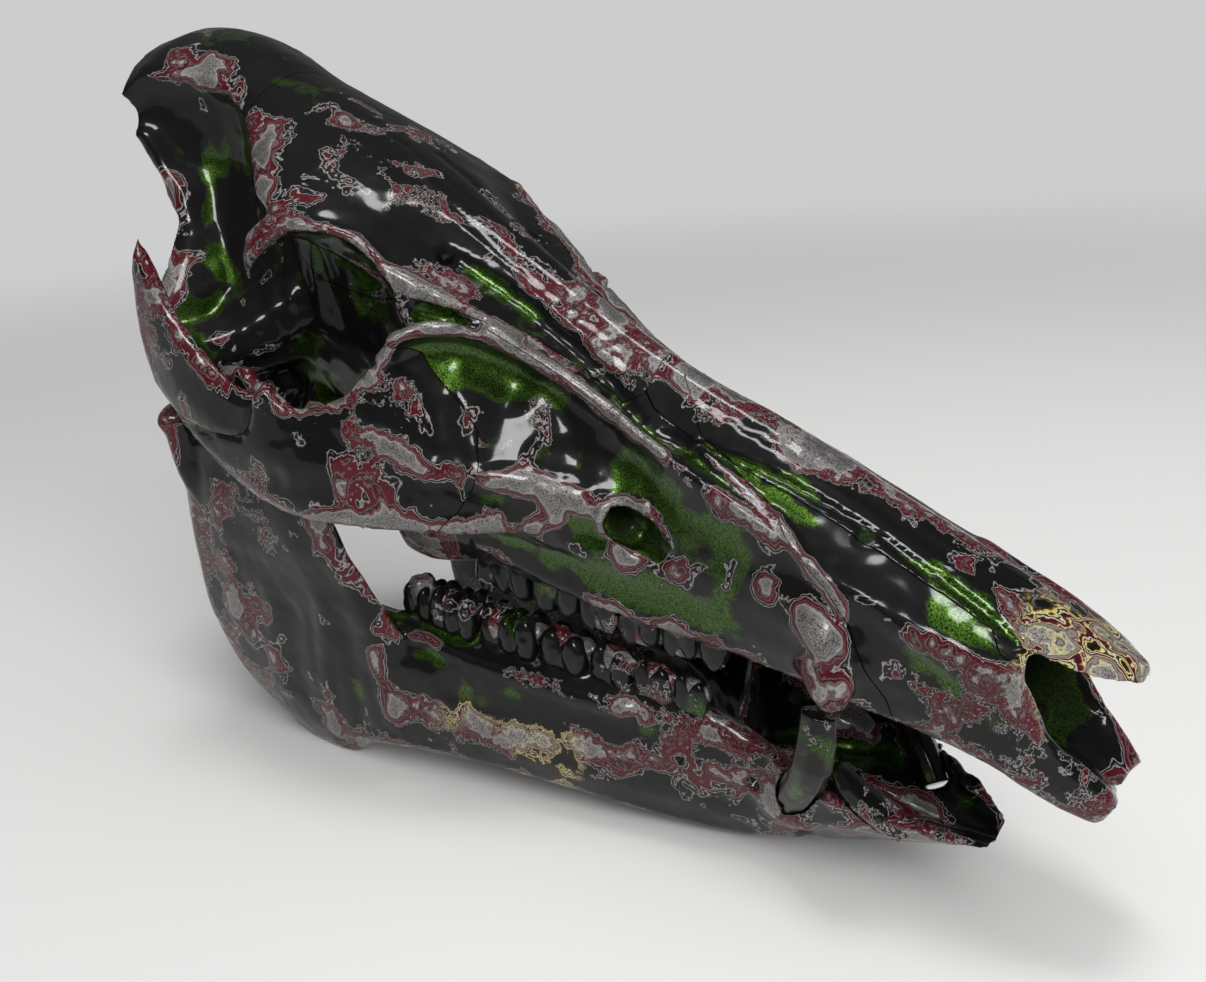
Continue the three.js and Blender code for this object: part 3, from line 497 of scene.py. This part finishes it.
def saw_sheet(line, y_from, y_to):
    """A thin blade along a side-view line."""
    far = []
    for i, (x, z) in enumerate(line):
        before, after = line[max(i - 1, 0)], line[min(i + 1, len(line) - 1)]
        along = np.array([after[0] - before[0], after[1] - before[1]], float)
        along /= np.linalg.norm(along)
        far.append((x - SAW * along[1], z + SAW * along[0]))
    return saw_block(list(line) + far[::-1], y_from, y_to)


def shape_object(name, shape):
    """Makes an object of a closed shape, with its faces turned outwards."""
    if shape.calc_volume(signed=True) < 0:
        bmesh.ops.reverse_faces(shape, faces=shape.faces)
    data = bpy.data.meshes.new(name)
    shape.to_mesh(data)
    shape.free()
    thing = bpy.data.objects.new(name, data)
    bpy.context.scene.collection.objects.link(thing)
    return thing


def cut_away(thing, tool):
    """Cuts one object out of another, and deletes it."""
    knife = thing.modifiers.new("cut", "BOOLEAN")
    knife.operation, knife.solver, knife.object = "DIFFERENCE", "MANIFOLD", tool
    graph = bpy.context.evaluated_depsgraph_get()
    data = bpy.data.meshes.new_from_object(thing.evaluated_get(graph))
    thing.modifiers.clear()
    old, thing.data = thing.data, data
    bpy.data.meshes.remove(old)
    bpy.data.objects.remove(tool)


def loose_parts(thing):
    """Splits an object into its separate closed pieces, largest first."""
    bpy.ops.object.select_all(action="DESELECT")
    bpy.context.view_layer.objects.active = thing
    thing.select_set(True)
    bpy.ops.mesh.separate(type="LOOSE")
    return sorted(bpy.context.selected_objects, key=lambda o: -len(o.data.vertices))


# Edges of the bones and the line of the roof, seen from the side, as (x, z) in mm.
FRONTAL_EDGE = [(-100, 266), (-97, 222), (-92, 196), (-82, 172), (-70, 162), (-50, 157), (-31, 158),
                (-23, 163), (-12, 158.5), (0, 153.5), (10, 147.5), (22, 140), (36, 131), (42, 134), (46, 162)]
PREMAXILLA_EDGE = [(50, 138), (61, 125), (77, 116), (89, 109.5), (104, 96), (109, 89.5), (114, 78),
                   (118.7, 67), (121, 55), (121, 30)]
PALATE_EDGE = [(-31, 159), (-31, 106), (-47, 101), (-50, 70)]
CHEEK_FRONT = [(-27, 168), (-21, 152), (-8, 139), (2, 128), (6, 115), (0, 104), (-8, 96), (-10, 84)]
CHEEK_BACK = [(-110.6, 112), (-110.6, 129.9), (-103, 127), (-92, 124), (-81, 122.3), (-72, 122.4),
              (-66.5, 123.8), (-63.5, 127), (-62, 131.5), (-61, 152)]
ROOF = [(-151, 239), (-140, 241), (-120, 236.4), (-95, 223), (-70, 209.5), (-47, 196.5), (-20, 180),
        (0, 168), (20, 155.5), (40, 144), (55, 136.8), (85, 124.6), (112, 111.5), (140, 98), (173, 82)]
NASAL_BACK, NASAL_FRONT, ROOF_REACH = 34, 178, 266


def nasal_block(room):
    """The two nasal bones as a block that follows the roof of the nose."""
    block, last = bmesh.new(), None
    for x in np.linspace(NASAL_BACK - room, NASAL_FRONT, 13):
        side = np.interp(x, [34, 44, 60, 86, 135, 148, 152], [6, 12, 14.5, 15, 15.5, 16.5, 26]) + room
        top = np.interp(x, *zip(*ROOF))
        low = top - np.interp(x, [34, 85, 112, 148, 160], [11, 10.5, 9.5, 9.5, 12]) - room
        ring = [block.verts.new(place(x, y, z)) for y, z in
                ((-side, low), (-side, low + 30), (side, low + 30), (side, low))]
        if last:
            for i in range(4):
                block.faces.new((last[i], last[(i + 1) % 4], ring[(i + 1) % 4], ring[i]))
        else:
            block.faces.new(ring)
        last = ring
    block.faces.new(last)
    bmesh.ops.recalc_face_normals(block, faces=block.faces)
    return block


whole = bpy.data.objects.new("whole", cranium)
bpy.context.scene.collection.objects.link(whole)

nasal_gap = shape_object("nasal_gap", nasal_block(SAW))
cut_away(nasal_gap, shape_object("inner", nasal_block(0)))
above = [(x, z + SAW / 2) for x, z in FRONTAL_EDGE] + [(46, ROOF_REACH)]
cut_away(nasal_gap, shape_object("frontal", saw_block(above, -40, 40)))
cut_away(whole, nasal_gap)
for line, reach in ((FRONTAL_EDGE, 75), (PREMAXILLA_EDGE, 45), (PALATE_EDGE, 37)):
    cut_away(whole, shape_object("saw", saw_sheet(line, -reach, reach)))
inside = [(-35, 168)] + [(x + SAW / 2, z) for x, z in CHEEK_FRONT] + [(-35, 84)]
FAR_OUT, ARCH_INSIDE, CHEEK_INSIDE = 80, 57, 38
for side in (1, -1):
    for saw in (saw_sheet(CHEEK_FRONT, -FAR_OUT * side, (-CHEEK_INSIDE + SAW) * side),
                saw_block(inside, -CHEEK_INSIDE * side, (-CHEEK_INSIDE + SAW) * side),
                saw_sheet(CHEEK_BACK, -FAR_OUT * side, -ARCH_INSIDE * side),
                saw_sheet(CHEEK_BACK[:4], -FAR_OUT * side, -CHEEK_INSIDE * side)):
        cut_away(whole, shape_object("saw", saw))
roofline = [(x, z + SAW / 2) for x, z in FRONTAL_EDGE if x > -40]
middle = ([(-49.9, 20)] + [(x + 0.1, z - 0.05) for x, z in PALATE_EDGE[::-1]] + roofline[1:]
          + [(190, 162), (190, 20)])
cut_away(whole, shape_object("saw", saw_block(middle, -SAW / 2, SAW / 2)))

SCRAP = 400
bones = {}
for piece in loose_parts(whole):
    points = points_of(piece.data)
    if len(points) < SCRAP or len(bones) == len(CRANIUM_NODES):
        bpy.data.objects.remove(piece)
        continue
    ends = np.array([points.min(0), points.max(0)])
    left = [n for n in CRANIUM_NODES if n not in bones]
    found = min(left, key=lambda n: np.abs(np.array(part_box(n)) - ends).sum())
    piece.name = f"bone_{found}"
    piece.data.name = piece.name
    bones[found] = piece


def layered_paint(name, seed, top, green, rings, zone):
    """Many coats of paint under clear lacquer, sanded back so that the coats show as rings, with
    painted shade where the bone is marked deepest in its hollows and sockets. top is the top coat's
    share, green how much of it is green flake, rings how strong the contour bands are, and zone how
    much of the cream and brown coats comes through."""
    paint = bpy.data.materials.new(name)
    paint.use_nodes = True
    nodes, links = paint.node_tree.nodes, paint.node_tree.links
    shader = nodes["Principled BSDF"]

    def link(source, target):
        links.new(source, target)

    def number(operation, a, b=None, c=None):
        node = nodes.new("ShaderNodeMath")
        node.operation = operation
        for socket, value in zip(node.inputs, (a, b, c)):
            if value is None:
                continue
            if isinstance(value, (int, float)):
                socket.default_value = value
            else:
                link(value, socket)
        return node.outputs[0]

    def eased(value, low, high):
        node = nodes.new("ShaderNodeMapRange")
        node.interpolation_type = "SMOOTHSTEP"
        node.inputs["From Min"].default_value, node.inputs["From Max"].default_value = low, high
        link(value, node.inputs["Value"])
        return node.outputs["Result"]

    spot = nodes.new("ShaderNodeTexCoord").outputs["Object"]

    def cloud(scale, detail, rough=0.55, bend=0.0, shift=0.0):
        moved = nodes.new("ShaderNodeMapping")
        moved.inputs["Location"].default_value = (seed + shift, seed * 0.7 - shift, 0.3 * seed)
        link(spot, moved.inputs["Vector"])
        node = nodes.new("ShaderNodeTexNoise")
        node.inputs["Scale"].default_value = scale
        node.inputs["Detail"].default_value = detail
        node.inputs["Roughness"].default_value = rough
        node.inputs["Distortion"].default_value = bend
        link(moved.outputs["Vector"], node.inputs["Vector"])
        return node.outputs["Fac"]

    def mixed(amount, a, b):
        node = nodes.new("ShaderNodeMix")
        node.data_type = "RGBA"
        link(amount, node.inputs[0])
        for socket, value in ((node.inputs[6], a), (node.inputs[7], b)):
            if isinstance(value, tuple):
                socket.default_value = value + (1,)
            else:
                link(value, socket)
        return node.outputs[2]

    def banded(depth, stops):
        node = nodes.new("ShaderNodeValToRGB")
        ramp = node.color_ramp
        ramp.elements[0].position, ramp.elements[0].color = stops[0][0], stops[0][1] + (1,)
        ramp.elements[1].position, ramp.elements[1].color = stops[-1][0], stops[-1][1] + (1,)
        for position, colour in stops[1:-1]:
            ramp.elements.new(position).color = colour + (1,)
        link(depth, node.inputs["Fac"])
        return node.outputs["Color"]

    wear_and_shade_node = nodes.new("ShaderNodeAttribute")
    wear_and_shade_node.attribute_name = "wear_and_shade"
    wear_and_shade = wear_and_shade_node.outputs["Fac"]
    broad = cloud(30, 2, 0.5)
    patches = cloud(80, 3, 0.5, 0.6, 1.3)
    crumbs = cloud(420, 3, 0.6, 0.0, 2.1)
    grains = cloud(2300, 2, 0.6, 0.0, 3.7)

    # Low marks keep the black top coat: partly unsanded paint in the hollows, partly painted shade in the
    # deep sockets.
    depth = number("MULTIPLY_ADD", wear_and_shade, 0.15, 0.40 - top)
    depth = number("MULTIPLY_ADD", number("SUBTRACT", broad, 0.5), 1.0, depth)
    depth = number("MULTIPLY_ADD", number("SUBTRACT", patches, 0.5), 0.75 * rings, depth)
    lace = number("MULTIPLY_ADD", eased(cloud(22, 1, 0.4, 0.0, 11.2), 0.43, 0.58), 0.26, 0.09)
    depth = number("MULTIPLY_ADD", number("SUBTRACT", crumbs, 0.5), lace, depth)

    BLACK = (0.0035, 0.0035, 0.0035)
    CRIMSON, DARK_RED = (0.075, 0.004, 0.009), (0.02, 0.002, 0.003)
    BLUSH, PALE = (0.16, 0.10, 0.10), (0.34, 0.31, 0.30)
    SILVER, STEEL = (0.20, 0.195, 0.19), (0.05, 0.05, 0.05)
    CREAM, YELLOW = (0.55, 0.50, 0.26), (0.42, 0.33, 0.07)
    BROWN, AMBER = (0.022, 0.009, 0.004), (0.16, 0.05, 0.015)
    red_coats = banded(depth, [
        (0.400, BLACK), (0.406, STEEL), (0.413, PALE), (0.421, STEEL), (0.428, BLACK), (0.446, BLACK),
        (0.452, BLUSH), (0.459, PALE), (0.466, DARK_RED), (0.478, CRIMSON), (0.512, CRIMSON), (0.518, BLUSH),
        (0.525, STEEL), (0.533, DARK_RED), (0.548, CRIMSON), (0.560, BLUSH), (0.572, STEEL), (0.586, PALE),
        (0.600, SILVER), (0.74, SILVER), (0.82, PALE)])
    cream_coats = banded(depth, [
        (0.395, BLACK), (0.405, BROWN), (0.430, BROWN), (0.438, YELLOW), (0.448, CREAM), (0.456, BROWN),
        (0.468, BLACK), (0.474, CREAM), (0.486, PALE), (0.494, DARK_RED), (0.515, CRIMSON), (0.523, AMBER),
        (0.531, CREAM), (0.540, BROWN), (0.552, BLUSH), (0.575, SILVER), (0.590, STEEL), (0.602, CREAM),
        (0.630, PALE), (0.80, SILVER)])
    creamy = eased(cloud(17, 1, 0.4, 0.0, 5.9), 0.62 - zone, 0.66 - zone)
    coats = mixed(creamy, red_coats, cream_coats)

    speck = eased(grains, 0.36, 0.56)
    worn = eased(depth, 0.56, 0.66)
    PRIMER = (0.05, 0.045, 0.045)
    dull = mixed(number("MULTIPLY", worn, number("SUBTRACT", 1.0, speck)), coats, PRIMER)

    patchy = number("MULTIPLY_ADD", number("SUBTRACT", patches, 0.5), 0.7, green - 0.70)
    hollow = number("MULTIPLY_ADD", wear_and_shade, -0.13, number("ADD", cloud(24, 2, 0.5, 0.3, 8.8), patchy))
    leafy = number("MULTIPLY", eased(hollow, 0.0, 0.10), number("SUBTRACT", 1.0, eased(depth, 0.385, 0.40)))
    # Painted shade: the green flake is held back where the bone is marked deepest, so deep hollows stay
    # black.
    leafy = number("MULTIPLY", leafy, number("MULTIPLY_ADD", eased(wear_and_shade, -2.6, -1.3), 0.75, 0.25))
    sparkle = eased(grains, 0.30, 0.70)
    DEEP_GREEN, GREEN_FLAKE = (0.002, 0.005, 0.001), (0.06, 0.135, 0.014)
    flake = mixed(sparkle, DEEP_GREEN, GREEN_FLAKE)
    link(mixed(leafy, dull, flake), shader.inputs["Base Color"])

    metal = number("MAXIMUM", number("MULTIPLY", leafy, 0.92), number("MULTIPLY", worn, 0.55))
    link(metal, shader.inputs["Metallic"])
    link(number("MULTIPLY_ADD", leafy, -0.13, 0.44), shader.inputs["Roughness"])
    shader.inputs["Specular IOR Level"].default_value = 0.08
    # Painted shade: the clear lacquer is thinned where the bone is marked deepest, so deep hollows reflect
    # less light.
    link(number("MULTIPLY_ADD", eased(wear_and_shade, -2.6, -1.2), 0.7, 0.3), shader.inputs["Coat Weight"])
    shader.inputs["Coat Roughness"].default_value = 0.10
    shader.inputs["Coat IOR"].default_value = 1.32
    relief = nodes.new("ShaderNodeBump")
    relief.inputs["Strength"].default_value = 0.25
    relief.inputs["Distance"].default_value = 0.0004
    link(grains, relief.inputs["Height"])
    link(relief.outputs["Normal"], shader.inputs["Normal"])
    return paint


PAINTS = {
    "painted_bone": layered_paint("painted_bone", seed=3.1, top=0.11, green=0.06, rings=1.0, zone=0.03),
    "painted_snout": layered_paint("painted_snout", seed=7.7, top=0.115, green=0.13, rings=1.0, zone=-0.02),
}
SNOUT_BONES = ("nasal_bone", "premaxilla", "maxilla")


def finish_bone(bone, node, slot, points, wear_and_shade):
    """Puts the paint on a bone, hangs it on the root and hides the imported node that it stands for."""
    give_wear_and_shade(bone.data, points, wear_and_shade)
    bone.data.materials.clear()
    bone.data.materials.append(PAINTS[slot])
    bone.data.shade_smooth()
    bone.data.set_sharp_from_angle(angle=math.radians(50))
    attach(bone, "root")
    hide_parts(node)


for node, bone in bones.items():
    slot = "painted_snout" if node.startswith(SNOUT_BONES) else "painted_bone"
    finish_bone(bone, node, slot, cranium_points, cranium_wear_and_shade)

# Lower jaw.
# Two halves of bone that meet at the chin, each a deep body with a broad upright plate
# behind, where the chewing muscle left low ridges. They are painted as the cranium is.
PAINTS["painted_jaw"] = layered_paint("painted_jaw", seed=12.4, top=0.10, green=0.09, rings=1.0, zone=-0.08)
MUSCLE_RIDGES = [
    ([(-97, -62.3, 74), (-102.7, -59.7, 49)], 6.0, 0.5, OUT),
    ([(-82, -59, 65), (-88.6, -56.7, 40), (-90, -54, 22)], 5.5, 0.45, OUT),
    ([(-59, -55.8, 66), (-65.7, -53.3, 41), (-72, -50, 10)], 5.0, 0.5, OUT),
    ([(-45, -51, 56.4), (-44.4, -48.7, 37.4), (-41, -48, 21)], 5.0, 0.5, OUT),
    ([(-74, -57, 60), (-78, -55, 40), (-80, -52, 22)], 5.5, -0.4, OUT),
    ([(-52, -53, 60), (-55, -51, 38), (-56, -49, 18)], 5.5, -0.4, OUT)]
BODY_HOLLOW = ([(-17.5, -43, 39), (21.5, -36, 36.9), (46.7, -29.8, 36.8)], 8.0, -1.3, OUT)
LOWER_GUM = ([(-40, -40, 52), (0, -33, 46), (40, -26, 42)], 3.5, 0.7, OUT)
CHIN_HOLES = [([(80, -18.8, 28.2)], 2.8, -4.0, OUT), ([(58, -25, 31)], 2.0, -2.5, OUT)]
EMPTY_SOCKETS = [(113, -17.5, 31), (121, -15, 28.5), (129, -12, 25.5)]
SOCKET_STROKES = [([spot], width, lift, None) for width, lift in ((4.5, 1.3), (2.2, -2.4))
                  for spot in EMPTY_SOCKETS]
JAW_STROKES = MUSCLE_RIDGES + [BODY_HOLLOW, LOWER_GUM] + CHIN_HOLES + SOCKET_STROKES
JAW_WEAR = [
    ([(-38, -46, 30), (-10, -43, 28), (20, -36, 27), (50, -28, 26)], 5.0, 1.0),
    ([(-30, -41, 49), (10, -34, 44), (50, -26, 40)], 5.5, -1.1),
    ([(-97, -62, 74), (-103, -60, 49)], 3.0, 0.7),
    ([(-59, -56, 66), (-66, -53, 41), (-72, -50, 10)], 3.0, 0.6),
    ([(113, -17, 31), (129, -12, 25)], 4.0, -0.8)]
for side, sign in (("right", 1), ("left", -1)):
    jaw = clay_from([f"jaw_{side}"], GRAIN)
    rub_smooth(jaw, 3, 40, 0.5e-3, 1.5e-3)
    set_points(jaw, points_of(jaw) - normals_of(jaw) * SWELL)
    strokes = [([(x, y * sign, z) for x, y, z in line], width, lift, (0, -sign, 0) if facing else None)
               for line, width, lift, facing in JAW_STROKES]
    carve(jaw, strokes, False)
    finish_clay(jaw, np.ones(len(jaw.vertices)))
    jaw.name = f"bone_jaw_{side}"
    bone = bpy.data.objects.new(jaw.name, jaw)
    bpy.context.scene.collection.objects.link(bone)
    finish_bone(bone, f"jaw_{side}", "painted_jaw", points_of(jaw), wear_and_shade_of(jaw, sanded=JAW_WEAR))

# Cheek teeth.
# Knobbly crowns of enamel over the gum line, each made of round cusps grown together,
# painted with the bone and rooted in it. They run from the last molar forwards.
TOOTH_GRAIN = 0.42e-3


def crown_clay(middle, length, width, height, up, cusps):
    """One cheek tooth: pairs of cusps on a swollen body, with its neck down in the bone."""
    clay = bmesh.new()

    def knob(x, y, z, rx, ry, rz):
        made = bmesh.ops.create_icosphere(clay, subdivisions=3, radius=1.0)["verts"]
        bmesh.ops.scale(clay, verts=made, vec=(rx * 1e-3, ry * 1e-3, rz * 1e-3))
        bmesh.ops.translate(clay, verts=made, vec=Vector(place(x, y, z)))

    x0, y0, z0 = middle
    pitch = length / cusps
    knob(x0, y0, z0 + up * height * 0.05, length * 0.52, width * 0.46, height * 0.60)
    for k in range(cusps):
        x = x0 - length / 2 + pitch * (k + 0.5)
        tall = height * (1.0 if k % 2 == 0 else 0.9)
        for side in (-1, 1):
            knob(x, y0 + side * width * 0.25, z0 + up * tall * 0.28,
                 pitch * 0.53, width * 0.25, tall * 0.72)
            knob(x, y0 + side * width * 0.17, z0 + up * tall * 0.60,
                 pitch * 0.38, width * 0.22, tall * 0.42)
        if k:
            knob(x - pitch / 2, y0, z0 + up * tall * 0.40, pitch * 0.25, width * 0.24, tall * 0.50)
    return fine_mesh(clay, TOOTH_GRAIN)


# Each row in mm: where it starts, the teeth's lengths, pairs of cusps and widths, then the
# gum line and the height of the crowns, each as values at places along the row.
TOOTH_GAP, ROOM_TO_RUB, PIT_DEPTH = 0.6, 0.8, 0.12e-3
TOOTH_ROWS = {
    "upper": dict(back=-14, lengths=(21, 17, 12.5, 13, 11, 8), cusps=(3, 2, 2, 2, 2, 1),
                  widths=(17, 15, 13, 10, 6.5, 5), gum_y=((-14, 40, 72), (22.5, 21.5, 20)),
                  gum_z=((-14, 0, 20, 40, 72), (80, 78, 76, 73, 69)),
                  height=((-14, 30, 72), (10, 10.5, 9)), up=-1),
    "lower": dict(back=-42, lengths=(30, 21, 17, 13.5, 12.5, 10.5), cusps=(5, 3, 2, 2, 2, 2),
                  widths=(13.5, 13, 11, 8.5, 6.5, 5),
                  gum_y=((-42, -20, 0, 30, 66), (32.5, 30, 27.5, 24.5, 21)),
                  gum_z=((-42, -20, 20, 66), (59, 56, 52, 46.5)),
                  height=((-42, -10, 30, 66), (11.5, 10.5, 9.5, 8.5)), up=1),
}


def joined(name, meshes):
    """Several meshes as one object."""
    every = bmesh.new()
    for mesh in meshes:
        every.from_mesh(mesh)
        bpy.data.meshes.remove(mesh)
    data = bpy.data.meshes.new(name)
    every.to_mesh(data)
    every.free()
    thing = bpy.data.objects.new(name, data)
    bpy.context.scene.collection.objects.link(thing)
    return thing


TOOTH_PAINT = layered_paint("painted_tooth", seed=21.3, top=0.16, green=0.16, rings=0.8, zone=-0.20)
TOOTH_WEAR = 0.25


def finish_tooth(tooth, *nodes):
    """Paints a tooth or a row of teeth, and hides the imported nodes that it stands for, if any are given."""
    give_wear_and_shade(tooth.data, points_of(tooth.data), wear_and_shade_of(tooth.data) * TOOTH_WEAR)
    tooth.data.materials.append(TOOTH_PAINT)
    tooth.data.shade_smooth()
    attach(tooth, "root")
    if nodes:
        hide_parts(*nodes)


for row_name, row in TOOTH_ROWS.items():
    for side, sign in (("right", -1), ("left", 1)):
        crowns, x = [], row["back"]
        for length, cusps, width in zip(row["lengths"], row["cusps"], row["widths"]):
            at = x + length / 2
            gum_y, gum_z, height = (np.interp(at, *row[key]) for key in ("gum_y", "gum_z", "height"))
            crown = crown_clay((at, sign * gum_y, gum_z), length + 0.7, width + ROOM_TO_RUB,
                               height + 0.6, row["up"], cusps)
            set_points(crown, averaged(points_of(crown), edges_of(crown), 9, 0.5))
            pits = ripple(points_of(crown), 4.2, len(crowns))
            set_points(crown, points_of(crown) + normals_of(crown) * PIT_DEPTH * pits[:, None])
            crowns.append(crown)
            x += length + TOOTH_GAP
        finish_tooth(joined(f"{row_name}_teeth_{side}", crowns))

# Lower tusks and front teeth.
# The tusk is a curved three-sided tooth in a socket of its own; the one front tooth left
# is a short flat peg. Both stay loose in their sockets and are held by the lacquer.
for node in ("lower_tusk", "lower_front_tooth"):
    for side in ("right", "left"):
        tooth = clay_from([f"{node}_{side}"], TOOTH_GRAIN)
        rub_smooth(tooth, 4, 40, 0.5e-3, 1.4e-3)
        set_points(tooth, points_of(tooth) - normals_of(tooth) * SWELL)
        finish_tooth(joined(f"{node}_{side}_enamel", [tooth]), f"{node}_{side}")
